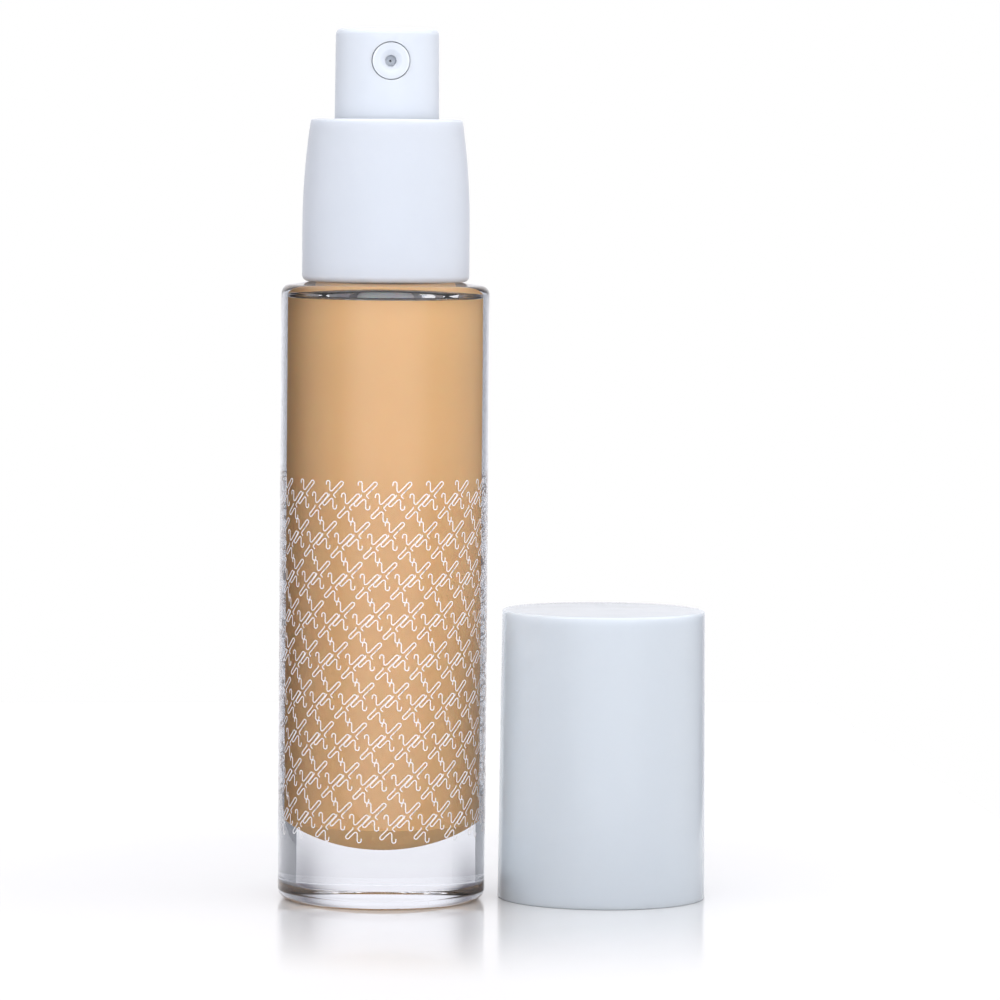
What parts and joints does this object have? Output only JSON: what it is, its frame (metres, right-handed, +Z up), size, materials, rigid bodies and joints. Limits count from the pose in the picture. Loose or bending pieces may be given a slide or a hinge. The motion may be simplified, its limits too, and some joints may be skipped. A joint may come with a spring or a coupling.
{
  "type": "foundation bottle",
  "caption": "Slim round clear glass bottle of liquid foundation with a domed heavy base, a white screw-on pump with a side nozzle, and a white cap standing beside it.",
  "frame": {"origin": "on the bottle's axis, at the plane that the bottle stands on", "axes": "+Z up the bottle's axis, the nozzle faces -Y, the cap stands beside the bottle towards +X"},
  "size_m": [0.0704, 0.0342, 0.1423],
  "materials": {
    "clear_glass": "clear, polished",
    "make_up": "wet liquid, opaque",
    "white_plastic": "glossy white",
    "cap_plastic": "glossy bluish white",
    "inner_plastic": "moulded white",
    "natural_plastic": "natural, slightly translucent",
    "piston_plastic": "soft moulded plastic",
    "gasket_foam": "foamed white sealing disc",
    "spring_steel": "drawn stainless wire",
    "stainless_ball": "polished ball"
  },
  "bodies": {
    "bottle": {"glass_bottle": "clear_glass", "foundation_fill": "make_up"},
    "pump": {"pump_housing": "natural_plastic", "neck_gasket": "gasket_foam", "stem_guide": "natural_plastic", "dip_tube": "natural_plastic", "return_spring": "spring_steel"},
    "closure": {"screw_closure": "inner_plastic", "collar_shell": "white_plastic"},
    "plunger": {"main_stem": "natural_plastic", "piston_rod": "natural_plastic"},
    "head": {"actuator": "white_plastic", "nozzle_insert": "white_plastic"},
    "piston": {"piston": "piston_plastic"},
    "ball": {"inlet_ball": "stainless_ball"},
    "cap": {"cap_shell": "cap_plastic", "cap_liner": "inner_plastic"}
  },
  "joints": [
    {"name": "pump_rise", "type": "slide", "parent": "bottle", "child": "pump", "axis": [0, 0, 1], "range_m": [0, 0.00635]},
    {"name": "closure_turn", "type": "hinge", "parent": "pump", "child": "closure", "pos_m": [0, 0, 0.11], "axis": [0, 0, 1], "range_deg": [0, 720]},
    {"name": "pump_press", "type": "slide", "parent": "pump", "child": "plunger", "axis": [0, 0, -1], "range_m": [0, 0.005], "stiffness_N_per_m": 1500, "springref_m": -0.003, "deforming": ["return_spring"]},
    {"name": "head_turn", "type": "hinge", "parent": "plunger", "child": "head", "pos_m": [0, 0, 0.13], "axis": [0, 0, 1], "continuous": true},
    {"name": "piston_slip", "type": "slide", "parent": "plunger", "child": "piston", "axis": [0, 0, 1], "range_m": [0, 0.0008]},
    {"name": "ball_lift", "type": "slide", "parent": "pump", "child": "ball", "axis": [0, 0, 1], "range_m": [0, 0.0008]},
    {"name": "cap_lift", "type": "slide", "parent": "bottle", "child": "cap", "axis": [0, 0, 1], "range_m": [0, 0.15]}
  ],
  "couplings": [
    {"joint": "closure_turn", "follows": "pump_rise", "rad_per_m": 1979}
  ]
}
